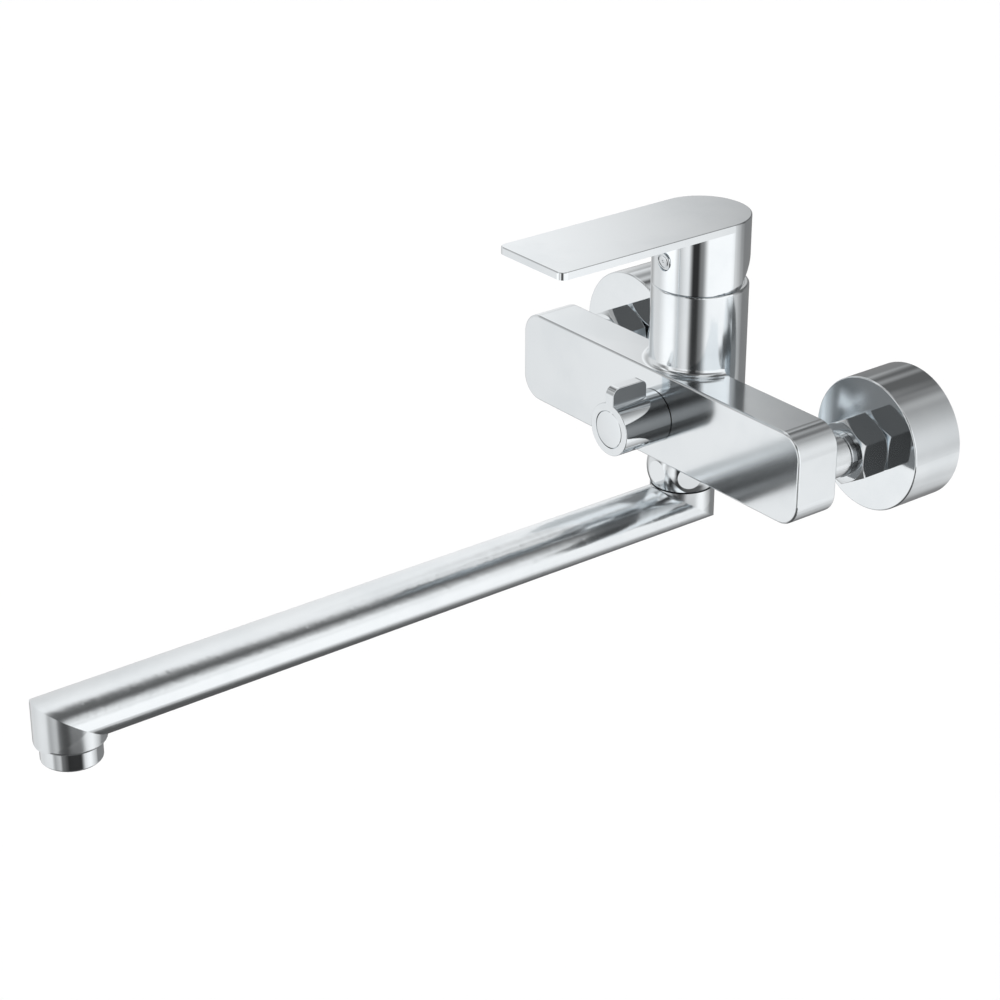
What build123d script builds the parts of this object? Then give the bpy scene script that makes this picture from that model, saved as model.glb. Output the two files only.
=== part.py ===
"""Wall-mounted bath mixer with a single lever, a diverter knob and a long swivelling spout.

Sizes are millimetres. X runs along the wall, Y into the wall and Z up. The modelling frame has its
origin on the wall, midway between the two inlet necks and level with them. The written parts are
raised so that the origin lies midway between the two wall inlets instead.
"""
import os
from math import cos, radians, sin, sqrt, tan

from build123d import *

# Clearances and shared angles
SLIP = 0.06
SEAT = 0.10
SEAM = 0.15
FREE = 0.30
HEXAGON_HALF_SIDE = 30.0

# Wall side
INLET_SPACING = 150.0
ECCENTRIC_OFFSET = 7.5
PIPE_THREAD_RADIUS = 10.48
THREAD_IN_WALL = 16.0
UNION_BORE_RADIUS = 6.5
UNION_BODY_WALL = 3.0
UNION_BODY_START = 2.0
UNION_BODY_LENGTH = 9.0
ROSETTE_RADIUS = 28.4
ROSETTE_DEPTH = 25.2
ROSETTE_WALL = 1.2
ROSETTE_EDGE = 0.6

# Inlet necks and their nuts
NUT_FLATS = 25.1
NUT_LENGTH = 13.8
NUT_CORNER_BEVEL = 1.3
NUT_FACE_TAPER = 1.0
NUT_LIP = 2.2
NECK_RADIUS = 9.2
NECK_COLLAR_RADIUS = 9.65
NECK_COLLAR_LENGTH = 2.7
NECK_BORE_RADIUS = 6.0
SPIGOT_RADIUS = 8.0
SPIGOT_LENGTH = 4.3
RETAINER_WIRE = 1.0
RETAINER_BITE = 0.5
RETAINER_GAP_ANGLE = 40.0
WASHER_THICKNESS = 2.0

# Slab body
SLAB_LENGTH = 175.0
SLAB_HEIGHT = 40.0
SLAB_DEPTH = 21.2
SLAB_STANDOFF = 53.8
SLAB_CORNER = 10.3
SLAB_FRONT_ROUND = 0.9
SLAB_BACK_ROUND = 0.6
CROSS_BORE_RADIUS = 4.5
CROSS_BORE_RISE = 10.0
CROSS_BORE_INSET = 6.0
PORT_WAY_HEIGHT = 13.0
PORT_WAY_REACH = 12.0

# Tower and cartridge
TOWER_SETBACK = 2.4
TOWER_TOP = 55.0
TOWER_WALL = 1.95
TOWER_EDGE = 0.9
TOWER_FOOT_FILLET = 2.9
CHAMBER_FLOOR = 18.0
CARTRIDGE_RADIUS = 17.4
CARTRIDGE_RING_STEP = 1.0
BASE_HEIGHT = 4.5
BASE_PEG_RADIUS = 1.8
BASE_PEG_LENGTH = 2.0
BASE_PEG_CIRCLE = 13.5
BASE_PEG_ANGLE = 35.0
PORT_RADIUS = 2.4
INLET_PORT_SIDE = 6.0
INLET_PORT_FORWARD = 3.0
MIXED_PORT_BACK = 5.0
SEAL_WIDTH = 1.1
SEAL_HEIGHT = 1.8
FIXED_DISC_HEIGHT = 3.5
MOVING_DISC_HEIGHT = 4.0
MOVING_DISC_RADIUS = 12.2
MOVING_RECESS_WIDTH = 16.0
MOVING_RECESS_LENGTH = 10.4
MOVING_RECESS_CORNER = 3.0
MOVING_RECESS_BACK = 2.2
MOVING_RECESS_DEPTH = 2.0
CARRIER_HEIGHT = 4.5
CARRIER_FLOOR = 0.5
HOUSING_WALL = 1.9
HOUSING_HEIGHT = 22.0
HOUSING_NECK_HEIGHT = 8.5
HOUSING_ROOF = 1.2
ROTOR_NECK_RADIUS = 12.8
HOUSING_NECK_WALL = 1.3
ROTOR_HEADROOM = 4.0
ROTOR_SLOT_HALF = 6.8
LEVER_PIVOT = 50.0
PIVOT_PIN_RADIUS = 2.0
PIVOT_PIN_INSET = 1.2
STEM_SIDE = 7.5
STEM_REACH = 26.0
STEM_SHOULDER = 5.0
STEM_ARM = 16.5
STEM_ARM_RADIUS = 2.4
STEM_BALL_RADIUS = 3.0
STEM_LEAN = 11.0
RING_HEIGHT = 6.3
RING_NOTCH_WIDTH = 3.0
RING_NOTCH_DEPTH = 2.0
SHROUD_THICKNESS = 1.3
SHROUD_OPENING = 13.0

# Lever
LEVER_TOP = 84.66
LEVER_REACH = 90.2
LEVER_HALF_WIDTH = 20.2
LEVER_PLATE = 3.2
LEVER_TIP_CORNER = 3.2
LEVER_EDGE = 0.5
CAP_WALL = 2.2
CAP_ROOF = 5.0
CAP_GAP = 0.3
RELIEF_START = 9.5
RELIEF_KNEE = 5.5
RELIEF_KNEE_RISE = 2.6
RELIEF_ANGLE = 45.0
STEM_SOCKET_WALL = 3.05
STEM_SOCKET_START = 14.0
SET_SCREW_HEIGHT = 21.3
SET_SCREW_RADIUS = 2.5
SET_SCREW_LENGTH = 8.0
SET_SCREW_KEY = 2.5
SET_SCREW_KEY_DEPTH = 2.5
SET_SCREW_BOSS_WALL = 1.5
PLUG_RADIUS = 4.0
PLUG_HEAD = 1.0
PLUG_SUNK = 0.8
PLUG_SHANK_RADIUS = 2.8
PLUG_SHANK_LENGTH = 2.6
PLUG_DIMPLE_RADIUS = 0.6
PLUG_DIMPLE_DEPTH = 0.4

# Diverter
KNOB_RADIUS = 11.46
KNOB_LENGTH = 24.05
KNOB_WALL = 1.5
KNOB_HOLLOW = 9.5
KNOB_EDGE = 0.3
TAB_THICKNESS = 4.8
TAB_TOP = 18.6
TAB_LENGTH = 18.1
TAB_FRONT_ROUND = 3.4
TAB_BACK_ROUND = 2.8
CAP_DISC_RADIUS = 8.16
CAP_DISC_THICKNESS = 1.5
KNOB_SCREW_RADIUS = 2.0
KNOB_SCREW_LENGTH = 10.0
KNOB_SCREW_HEAD_RADIUS = 3.6
KNOB_SCREW_HEAD = 2.4
KNOB_SCREW_WEB = 2.1
KNOB_SCREW_KEY = 2.5
KNOB_SCREW_KEY_DEPTH = 1.4
VALVE_THREAD_LENGTH = 10.0
VALVE_HEX_FLATS = 16.0
VALVE_HEX_HEIGHT = 4.5
VALVE_SLEEVE_RADIUS = 8.9
VALVE_SLEEVE_WALL = 1.6
VALVE_CHAMBER_END = 43.0
VALVE_WINDOW = 8.0
DRUM_WALL = 1.8
DRUM_FLOOR = 2.2
DRUM_FRONT = 1.9
DRUM_SLOT_FIRST_ANGLE = 54.0
DRUM_SLOT_LAST_ANGLE = 214.0
VALVE_DISC_THICKNESS = 2.2
VALVE_SEAL_THICKNESS = 2.0
VALVE_PORT_RADIUS = 2.2
VALVE_PORT_OFFSET = 3.6
SPINDLE_RADIUS = 3.5
SPINDLE_FLAT = 2.7
SPINDLE_RING_SECTION = 1.4
SPINDLE_RING_PITCH = 3.5

# Spout
SPOUT_AXIS_FORWARD = 3.64
SPOUT_LENGTH = 298.6
SPOUT_HALF_WIDTH = 13.9
SPOUT_HALF_HEIGHT = 9.2
SPOUT_WALL = 1.3
SWIVEL_GAP = 0.5
SWIVEL_NUT_RADIUS = 15.5
SWIVEL_NUT_HEIGHT = 14.75
SWIVEL_NUT_FLATS = 29.2
SWIVEL_NUT_LIP = 3.2
SWIVEL_THREAD_RADIUS = 11.9
SWIVEL_THREAD_LENGTH = 7.5
SWIVEL_BORE_RADIUS = 8.0
SWIVEL_BORE_DEPTH = 6.0
SWIVEL_COLLAR_RADIUS = 10.8
SLIP_RING_HEIGHT = 0.9
TAIL_BORE_RADIUS = 5.0
TAIL_SOCKET_DEPTH = 3.0
O_RING_SECTION = 1.5
O_RING_FIRST = 2.0
O_RING_PITCH = 4.5
OUTLET_EDGE = 1.5
AERATOR_RADIUS = 11.8
AERATOR_HEAD = 7.6
AERATOR_THREAD_RADIUS = 11.6
AERATOR_THREAD_LENGTH = 6.6
AERATOR_WALL = 1.2
AERATOR_EDGE = 0.7
AERATOR_WASHER = 1.3
AERATOR_WASHER_WIDTH = 2.6
AERATOR_RECESS = 1.0
AERATOR_LEDGE = 0.8
INSERT_HEIGHT = 9.0
INSERT_WALL = 1.2
GRID_HEIGHT = 2.0
GRID_CELL = 2.2
GRID_WEB = 0.6
GRID_RINGS = 3

# Hand-shower outlet, low on the back
SHOWER_ANGLE = 45.0
SHOWER_BOSS_RADIUS = 11.5
SHOWER_BOSS_ROOT = 14.0
SHOWER_BOSS_LENGTH = 5.2
SHOWER_BOSS_RISE = 5.3
SHOWER_SOCKET_RADIUS = 9.0
SHOWER_SOCKET_DEPTH = 6.5
SHOWER_FLANGE = 2.5
SHOWER_THREAD_LENGTH = 11.0
SHOWER_WAY_RADIUS = 3.0
SHOWER_WAY_TURN = 5.5
CHECK_VALVE_RADIUS = 7.0
CHECK_VALVE_LENGTH = 10.0
CHECK_VALVE_WALL = 1.4

# Places worked out from the sizes above
SLAB_BACK = -SLAB_STANDOFF
SLAB_FRONT = SLAB_BACK - SLAB_DEPTH
SLAB_TOP = SLAB_HEIGHT / 2
SLAB_UNDERSIDE = -SLAB_HEIGHT / 2
SLAB_MIDDLE = (SLAB_FRONT + SLAB_BACK) / 2
CROSS_BORE_Y = SLAB_BACK - CROSS_BORE_INSET
TOWER_Y = SLAB_BACK + TOWER_SETBACK
CHAMBER_RADIUS = CARTRIDGE_RADIUS + SEAT
RING_THREAD_RADIUS = CHAMBER_RADIUS + CARTRIDGE_RING_STEP
TOWER_RADIUS = RING_THREAD_RADIUS + TOWER_WALL
TOWER_BACK = TOWER_Y + TOWER_RADIUS
INLET_PORT_Y = TOWER_Y - INLET_PORT_FORWARD
MIXED_PORT_Y = TOWER_Y + MIXED_PORT_BACK
BASE_TOP = CHAMBER_FLOOR + BASE_HEIGHT
DISC_FACE = BASE_TOP + FIXED_DISC_HEIGHT
CARRIER_BOTTOM = DISC_FACE + MOVING_DISC_HEIGHT
CARRIER_TOP = CARRIER_BOTTOM + CARRIER_HEIGHT
HOUSING_SHOULDER = BASE_TOP + HOUSING_HEIGHT
HOUSING_CEILING = HOUSING_SHOULDER - HOUSING_ROOF
HOUSING_TOP = HOUSING_SHOULDER + HOUSING_NECK_HEIGHT
HOUSING_BORE = CARTRIDGE_RADIUS - HOUSING_WALL
HOUSING_NECK_RADIUS = ROTOR_NECK_RADIUS + SLIP + HOUSING_NECK_WALL
ROTOR_TOP = HOUSING_TOP + ROTOR_HEADROOM
RING_TOP = HOUSING_SHOULDER + RING_HEIGHT
NUT_FRONT = -ROSETTE_DEPTH - SEAM - NUT_LENGTH
NECK_END = NUT_FRONT - SEAM
SPIGOT_END = NECK_END + SPIGOT_LENGTH
UNION_FACE = SPIGOT_END + WASHER_THICKNESS
RETAINER_FRONT = NUT_FRONT + NUT_LIP + SEAT
CAP_BOTTOM = TOWER_TOP + CAP_GAP
CAP_BORE = TOWER_RADIUS - CAP_WALL
SHROUD_SPHERE = sqrt((CAP_BORE - FREE) ** 2 + (TOWER_TOP - LEVER_PIVOT) ** 2)
LEVER_TIP = TOWER_Y - LEVER_REACH
CARRIER_Y = TOWER_Y + STEM_ARM * sin(radians(STEM_LEAN))
STEM_SOCKET_RADIUS = STEM_SIDE / 2 + STEM_SOCKET_WALL
STEM_FACE = STEM_SIDE / 2 + SEAT
CAP_FACE = (TOWER_RADIUS - SET_SCREW_HEIGHT * sin(radians(STEM_LEAN))) / cos(radians(STEM_LEAN))
PLUG_FLOOR = CAP_FACE - PLUG_SUNK
KNOB_BACK = SLAB_FRONT - FREE
KNOB_FACE = KNOB_BACK - KNOB_LENGTH
KNOB_BORE = KNOB_RADIUS - KNOB_WALL
KNOB_SCREW_TOP = KNOB_FACE + CAP_DISC_THICKNESS + SEAT
KNOB_WEB_FRONT = KNOB_SCREW_TOP + KNOB_SCREW_HEAD
SPINDLE_END = KNOB_WEB_FRONT + KNOB_SCREW_WEB
VALVE_THREAD_END = SLAB_FRONT + VALVE_THREAD_LENGTH
VALVE_BACK = -VALVE_CHAMBER_END
VALVE_SEAL_FRONT = VALVE_BACK - VALVE_SEAL_THICKNESS
FIXED_VALVE_DISC_FRONT = VALVE_SEAL_FRONT - VALVE_DISC_THICKNESS
MOVING_VALVE_DISC_FRONT = FIXED_VALVE_DISC_FRONT - VALVE_DISC_THICKNESS
SLEEVE_BORE = VALVE_SLEEVE_RADIUS - VALVE_SLEEVE_WALL
DRUM_RADIUS = SLEEVE_BORE - SLIP
SPOUT_Y = SLAB_BACK - SPOUT_AXIS_FORWARD
SWIVEL_NUT_TOP = SLAB_UNDERSIDE - SEAM
SWIVEL_NUT_BOTTOM = SWIVEL_NUT_TOP - SWIVEL_NUT_HEIGHT
SWIVEL_THREAD_END = SLAB_UNDERSIDE - SWIVEL_THREAD_LENGTH
SWIVEL_BORE_END = SLAB_UNDERSIDE + SWIVEL_BORE_DEPTH
SWIVEL_LIP_TOP = SWIVEL_NUT_BOTTOM + SWIVEL_NUT_LIP
TAIL_RADIUS = SWIVEL_BORE_RADIUS - SLIP
SPOUT_TOP = SWIVEL_NUT_BOTTOM - SWIVEL_GAP
SPOUT_Z = SPOUT_TOP - SPOUT_HALF_HEIGHT
SPOUT_BOTTOM = SPOUT_Z - SPOUT_HALF_HEIGHT
OUTLET_Y = SPOUT_Y - SPOUT_LENGTH
AERATOR_TOP = SPOUT_BOTTOM - SEAM + AERATOR_THREAD_LENGTH
AERATOR_BOTTOM = SPOUT_BOTTOM - SEAM - AERATOR_HEAD
AERATOR_BORE = AERATOR_THREAD_RADIUS - AERATOR_WALL
OUTLET_SEAT = AERATOR_TOP + AERATOR_WASHER
SHOWER_Z = SLAB_UNDERSIDE + SHOWER_BOSS_RISE
SHOWER_END = SHOWER_BOSS_LENGTH + SHOWER_FLANGE + SHOWER_THREAD_LENGTH
WIDE = INLET_SPACING


def turned(profile):
    """Solid of revolution about Z from (radius, height) corners."""
    corners = [(radius, 0, height) for radius, height in profile]
    return revolve(make_face(Polyline(*corners, close=True)), Axis.Z)


def along_y(shape):
    """Turn a shape made along +Z so that it runs along +Y."""
    return Rot(-90, 0, 0) * shape


def rod_z(radius, low, high, x=0.0, y=0.0):
    return Pos(x, y, (low + high) / 2) * Cylinder(radius, high - low)


def rod_y(radius, near, far, x=0.0, z=0.0):
    return Pos(x, (near + far) / 2, z) * along_y(Cylinder(radius, far - near))


def rod_x(radius, left, right, y=0.0, z=0.0):
    return Pos((left + right) / 2, y, z) * Rot(0, 90, 0) * Cylinder(radius, right - left)


def tube_z(outer, inner, low, high, x=0.0, y=0.0):
    return rod_z(outer, low, high, x, y) - rod_z(inner, low, high, x, y)


def tube_y(outer, inner, near, far, x=0.0, z=0.0):
    return rod_y(outer, near, far, x, z) - rod_y(inner, near, far, x, z)


def block(x_range, y_range, z_range):
    """Box from three (low, high) pairs."""
    spans = [x_range, y_range, z_range]
    middle = [(low + high) / 2 for low, high in spans]
    return Pos(*middle) * Box(*[high - low for low, high in spans])


def hexagon_y(flats, near, far):
    """Hexagonal bar along Y with two corners up and down."""
    outline = RegularPolygon(flats / 2, 6, major_radius=False, rotation=HEXAGON_HALF_SIDE)
    bar = extrude(outline, far - near)
    return Pos(0, near, 0) * along_y(bar)


def wall_rosette():
    """Deep round cup whose open rim stands on the wall."""
    shell = rod_y(ROSETTE_RADIUS, -ROSETTE_DEPTH, 0)
    shell = fillet(shell.faces().sort_by(Axis.Y)[0].edges(), ROSETTE_EDGE)
    shell -= rod_y(ROSETTE_RADIUS - ROSETTE_WALL, -ROSETTE_DEPTH + ROSETTE_WALL, 0)
    return shell - rod_y(PIPE_THREAD_RADIUS + SEAT, -ROSETTE_DEPTH, 0)


def eccentric_union():
    """Union whose wall thread lies lower than its nut thread."""
    drop = -ECCENTRIC_OFFSET
    body_radius = PIPE_THREAD_RADIUS + UNION_BODY_WALL
    near = -UNION_BODY_START - UNION_BODY_LENGTH
    far = -UNION_BODY_START
    side = (-body_radius, body_radius)
    union = rod_y(body_radius, near, far) + rod_y(body_radius, near, far, z=drop)
    union += block(side, (near, far), (drop, 0))
    union += rod_y(PIPE_THREAD_RADIUS, UNION_FACE, near)
    union += rod_y(PIPE_THREAD_RADIUS, far, THREAD_IN_WALL, z=drop)
    lap = UNION_BODY_LENGTH / 4
    middle = (near + far) / 2
    union -= rod_y(UNION_BORE_RADIUS, UNION_FACE, middle + lap)
    return union - rod_y(UNION_BORE_RADIUS, middle - lap, THREAD_IN_WALL, z=drop)


def union_nut():
    """Hexagon nut bevelled at both ends, with a coned face and a lip that catches the ring."""
    back = NUT_FRONT + NUT_LENGTH
    apex = NUT_FLATS / 2 / cos(radians(HEXAGON_HALF_SIDE)) + SEAT
    taper_end = NUT_FRONT + NUT_FACE_TAPER
    rim = NUT_FLATS / 2 - SEAT
    cone = along_y(turned([
        (0, NUT_FRONT), (NECK_COLLAR_RADIUS, NUT_FRONT), (rim, taper_end),
        (apex, taper_end + NUT_CORNER_BEVEL), (apex, back - NUT_CORNER_BEVEL), (rim, back), (0, back),
    ]))
    nut = hexagon_y(NUT_FLATS, NUT_FRONT, back) & cone
    nut -= rod_y(SPIGOT_RADIUS + SEAM, NUT_FRONT, back)
    return nut - rod_y(PIPE_THREAD_RADIUS + SEAT, NUT_FRONT + NUT_LIP, back)


def union_washer():
    return tube_y(PIPE_THREAD_RADIUS - SEAT, NECK_BORE_RADIUS, SPIGOT_END, UNION_FACE)


def nut_retainer():
    """Sprung ring with a gap, in the groove behind the nut's lip."""
    far = RETAINER_FRONT + RETAINER_WIRE
    ring = tube_y(SPIGOT_RADIUS + RETAINER_WIRE, SPIGOT_RADIUS - RETAINER_BITE, RETAINER_FRONT, far)
    half = radians(RETAINER_GAP_ANGLE / 2)
    reach = 2 * SPIGOT_RADIUS
    corners = [(0, 0), (reach * sin(half), -reach * cos(half)), (-reach * sin(half), -reach * cos(half))]
    wedge = extrude(Plane.XZ * make_face(Polyline(*corners, close=True)), WIDE, both=True)
    return ring - wedge


def inlet_neck(x):
    """Neck, collar and spigot that leave the back of the slab."""
    neck = rod_y(NECK_RADIUS, SLAB_MIDDLE, NECK_END, x)
    neck += rod_y(NECK_COLLAR_RADIUS, NECK_END - NECK_COLLAR_LENGTH, NECK_END, x)
    neck += rod_y(SPIGOT_RADIUS, NECK_END, SPIGOT_END, x)
    near = RETAINER_FRONT - SEAT / 2
    far = RETAINER_FRONT + RETAINER_WIRE + SEAT / 2
    return neck - tube_y(WIDE, SPIGOT_RADIUS - RETAINER_BITE - SEAT / 2, near, far, x)


def slab():
    face = Plane(origin=(0, SLAB_FRONT, 0), x_dir=(1, 0, 0), z_dir=(0, 1, 0))
    plate = extrude(face * RectangleRounded(SLAB_LENGTH, SLAB_HEIGHT, SLAB_CORNER), SLAB_DEPTH)
    plate = fillet(plate.faces().sort_by(Axis.Y)[0].edges(), SLAB_FRONT_ROUND)
    return fillet(plate.faces().sort_by(Axis.Y)[-1].edges(), SLAB_BACK_ROUND)


def tower_foot():
    """Hollow fillet between the tower and the slab's top."""
    root = TOWER_RADIUS - TOWER_WALL
    rise = SLAB_TOP + TOWER_FOOT_FILLET
    spread = TOWER_RADIUS + TOWER_FOOT_FILLET
    bow = TOWER_FOOT_FILLET * (1 - sqrt(0.5))
    middle = (TOWER_RADIUS + bow, 0, SLAB_TOP + bow)
    arc = ThreePointArc((TOWER_RADIUS, 0, rise), middle, (spread, 0, SLAB_TOP))
    rest = Polyline((spread, 0, SLAB_TOP), (root, 0, SLAB_TOP), (root, 0, rise), (TOWER_RADIUS, 0, rise))
    foot = Pos(0, TOWER_Y, 0) * revolve(make_face([arc, rest]), Axis.Z)
    return foot & block((-WIDE, WIDE), (SLAB_FRONT, SLAB_BACK - SLAB_BACK_ROUND), (0, TOWER_TOP))


def tower():
    """Round tower that stands behind and above the slab."""
    column = rod_z(TOWER_RADIUS, SLAB_UNDERSIDE, TOWER_TOP, y=TOWER_Y)
    column = fillet(column.faces().sort_by(Axis.Z)[-1].edges(), TOWER_EDGE)
    return column + tower_foot()


def shower_place():
    """Frame at the tower's lower back edge whose Z axis runs out towards the hose."""
    return Pos(0, TOWER_BACK, SHOWER_Z) * Rot(SHOWER_ANGLE - 180, 0, 0)


def inlet_way(side):
    """Bores from one neck through the slab to its cartridge port."""
    neck_x = side * INLET_SPACING / 2
    port_x = side * INLET_PORT_SIDE
    turn_x = side * PORT_WAY_REACH
    way = rod_y(NECK_BORE_RADIUS, CROSS_BORE_Y, SPIGOT_END, neck_x)
    way += rod_z(CROSS_BORE_RADIUS, 0, CROSS_BORE_RISE, neck_x, CROSS_BORE_Y)
    way += rod_x(CROSS_BORE_RADIUS, *sorted((turn_x, neck_x)), CROSS_BORE_Y, CROSS_BORE_RISE)
    way += rod_y(PORT_RADIUS, CROSS_BORE_Y, INLET_PORT_Y, turn_x, PORT_WAY_HEIGHT)
    way += rod_x(PORT_RADIUS, *sorted((port_x, turn_x)), INLET_PORT_Y, PORT_WAY_HEIGHT)
    return way + rod_z(PORT_RADIUS, PORT_WAY_HEIGHT, CHAMBER_FLOOR, port_x, INLET_PORT_Y)


def mixed_way():
    """Way from the cartridge's outlet forward and down into the diverter's chamber."""
    window_y = VALVE_THREAD_END + VALVE_WINDOW / 2 + DRUM_FRONT
    way = rod_z(PORT_RADIUS, PORT_WAY_HEIGHT, CHAMBER_FLOOR, y=MIXED_PORT_Y)
    way += rod_y(PORT_RADIUS, window_y, MIXED_PORT_Y, z=PORT_WAY_HEIGHT)
    return way + rod_z(PORT_RADIUS, 0, PORT_WAY_HEIGHT, y=window_y)


def shower_way():
    """Way from the back of the diverter's chamber down into the shower boss."""
    turn_y = VALVE_BACK + SHOWER_WAY_TURN
    turn_z = SHOWER_Z + (TOWER_BACK - turn_y) / tan(radians(SHOWER_ANGLE))
    start = (turn_y - TOWER_BACK) / sin(radians(SHOWER_ANGLE))
    way = rod_y(SHOWER_WAY_RADIUS, VALVE_BACK, turn_y) + rod_z(SHOWER_WAY_RADIUS, turn_z, 0, y=turn_y)
    way += shower_place() * rod_z(SHOWER_WAY_RADIUS, start, SHOWER_BOSS_LENGTH)
    socket_start = SHOWER_BOSS_LENGTH - SHOWER_SOCKET_DEPTH
    return way + shower_place() * rod_z(SHOWER_SOCKET_RADIUS, socket_start, SHOWER_BOSS_LENGTH)


def base_pegs(radius, length):
    """Pegs that key the cartridge's base to the chamber floor."""
    angle = radians(BASE_PEG_ANGLE)
    x = BASE_PEG_CIRCLE * cos(angle)
    y = TOWER_Y + BASE_PEG_CIRCLE * sin(angle)
    low = CHAMBER_FLOOR - length
    return rod_z(radius, low, CHAMBER_FLOOR, x, y) + rod_z(radius, low, CHAMBER_FLOOR, -x, y)


def mixer_body():
    """One casting: slab, tower, necks, swivel thread and shower boss, with its waterways."""
    body = slab() + tower()
    for side in (-1, 1):
        body += inlet_neck(side * INLET_SPACING / 2)
    body += rod_z(SWIVEL_THREAD_RADIUS, SWIVEL_THREAD_END, SLAB_UNDERSIDE, y=SPOUT_Y)
    body += shower_place() * rod_z(SHOWER_BOSS_RADIUS, -SHOWER_BOSS_ROOT, SHOWER_BOSS_LENGTH)
    body -= rod_z(CHAMBER_RADIUS, CHAMBER_FLOOR, TOWER_TOP, y=TOWER_Y)
    body -= rod_z(RING_THREAD_RADIUS, HOUSING_SHOULDER - SEAT, TOWER_TOP, y=TOWER_Y)
    body -= base_pegs(BASE_PEG_RADIUS + SEAT, BASE_PEG_LENGTH + SEAT)
    body -= inlet_way(-1)
    body -= inlet_way(1)
    body -= mixed_way()
    body -= shower_way()
    body -= rod_y(PIPE_THREAD_RADIUS + SEAT, SLAB_FRONT, VALVE_THREAD_END)
    body -= rod_y(VALVE_SLEEVE_RADIUS + SEAT, VALVE_THREAD_END, VALVE_BACK)
    body -= rod_z(SWIVEL_BORE_RADIUS, SWIVEL_THREAD_END, SWIVEL_BORE_END, y=SPOUT_Y)
    return body - rod_z(TAIL_BORE_RADIUS, SWIVEL_BORE_END, 0, y=SPOUT_Y)


def port_places():
    """The cartridge's two inlets and its outlet, seen from above."""
    return [
        (-INLET_PORT_SIDE, INLET_PORT_Y), (INLET_PORT_SIDE, INLET_PORT_Y), (0, MIXED_PORT_Y),
    ]


def cartridge_base():
    base = rod_z(CARTRIDGE_RADIUS, CHAMBER_FLOOR, BASE_TOP, y=TOWER_Y)
    base += base_pegs(BASE_PEG_RADIUS, BASE_PEG_LENGTH)
    seal_radius = PORT_RADIUS + SEAL_WIDTH
    for x, y in port_places():
        base -= rod_z(PORT_RADIUS, CHAMBER_FLOOR, BASE_TOP, x, y)
        base -= rod_z(seal_radius + SLIP, CHAMBER_FLOOR, CHAMBER_FLOOR + SEAL_HEIGHT, x, y)
    return base


def base_seals():
    """Three rubber rings between the cartridge's base and the chamber floor."""
    top = CHAMBER_FLOOR + SEAL_HEIGHT
    outer = PORT_RADIUS + SEAL_WIDTH
    rings = [tube_z(outer, PORT_RADIUS, CHAMBER_FLOOR, top, x, y) for x, y in port_places()]
    return Compound(rings)


def fixed_disc():
    disc = rod_z(HOUSING_BORE - SEAT, BASE_TOP, DISC_FACE, y=TOWER_Y)
    for x, y in port_places():
        disc -= rod_z(PORT_RADIUS, BASE_TOP, DISC_FACE, x, y)
    return disc


def moving_disc():
    """Ceramic disc with the mixing recess in its lower face."""
    disc = rod_z(MOVING_DISC_RADIUS, DISC_FACE, CARRIER_BOTTOM, y=CARRIER_Y)
    outline = RectangleRounded(MOVING_RECESS_WIDTH, MOVING_RECESS_LENGTH, MOVING_RECESS_CORNER)
    recess = Pos(0, CARRIER_Y + MOVING_RECESS_BACK, DISC_FACE) * extrude(outline, MOVING_RECESS_DEPTH)
    return disc - recess


def disc_carrier():
    """Plastic driver on the moving disc, with a pocket for the stem's ball."""
    carrier = rod_z(MOVING_DISC_RADIUS, CARRIER_BOTTOM, CARRIER_TOP, y=CARRIER_Y)
    pocket_floor = CARRIER_BOTTOM + CARRIER_FLOOR - SEAT
    return carrier - rod_z(STEM_BALL_RADIUS + SEAM, pocket_floor, CARRIER_TOP, y=CARRIER_Y)


def cartridge_housing():
    shell = rod_z(CARTRIDGE_RADIUS, BASE_TOP, HOUSING_SHOULDER, y=TOWER_Y)
    shell += rod_z(HOUSING_NECK_RADIUS, HOUSING_SHOULDER, HOUSING_TOP, y=TOWER_Y)
    shell -= rod_z(HOUSING_BORE, BASE_TOP, HOUSING_CEILING, y=TOWER_Y)
    return shell - rod_z(ROTOR_NECK_RADIUS + SLIP, HOUSING_CEILING, HOUSING_TOP, y=TOWER_Y)


def cartridge_rotor():
    """Turning core, slotted for the stem and drilled across for its pivot pin."""
    low = CARRIER_TOP + SEAM
    core = rod_z(HOUSING_BORE - SEAT, low, HOUSING_CEILING - SEAT, y=TOWER_Y)
    core += rod_z(ROTOR_NECK_RADIUS, low, ROTOR_TOP, y=TOWER_Y)
    half_width = STEM_SIDE / 2 + SEAM
    slot_y = (TOWER_Y - ROTOR_SLOT_HALF, TOWER_Y + ROTOR_SLOT_HALF)
    core -= block((-half_width, half_width), slot_y, (low, ROTOR_TOP))
    return core - rod_x(PIVOT_PIN_RADIUS + SEAT, *pivot_pin_span(), TOWER_Y, LEVER_PIVOT)


def pivot_pin_span():
    half = ROTOR_NECK_RADIUS - PIVOT_PIN_INSET
    return -half, half


def pivot_pin():
    return rod_x(PIVOT_PIN_RADIUS, *pivot_pin_span(), TOWER_Y, LEVER_PIVOT)


def stem_place():
    """Frame on the lever's pivot whose Z axis runs up the leaning stem."""
    return Pos(0, TOWER_Y, LEVER_PIVOT) * Rot(STEM_LEAN, 0, 0)


def lever_stem():
    """Square stem above the pivot and a round arm with a ball below it."""
    half = STEM_SIDE / 2
    stem = block((-half, half), (-half, half), (-STEM_SHOULDER, STEM_REACH))
    stem += rod_z(STEM_ARM_RADIUS, -STEM_ARM, 0)
    stem += Pos(0, 0, -STEM_ARM) * Sphere(STEM_BALL_RADIUS)
    stem -= rod_x(PIVOT_PIN_RADIUS + SLIP, -STEM_SIDE, STEM_SIDE)
    return stem_place() * stem


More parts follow.
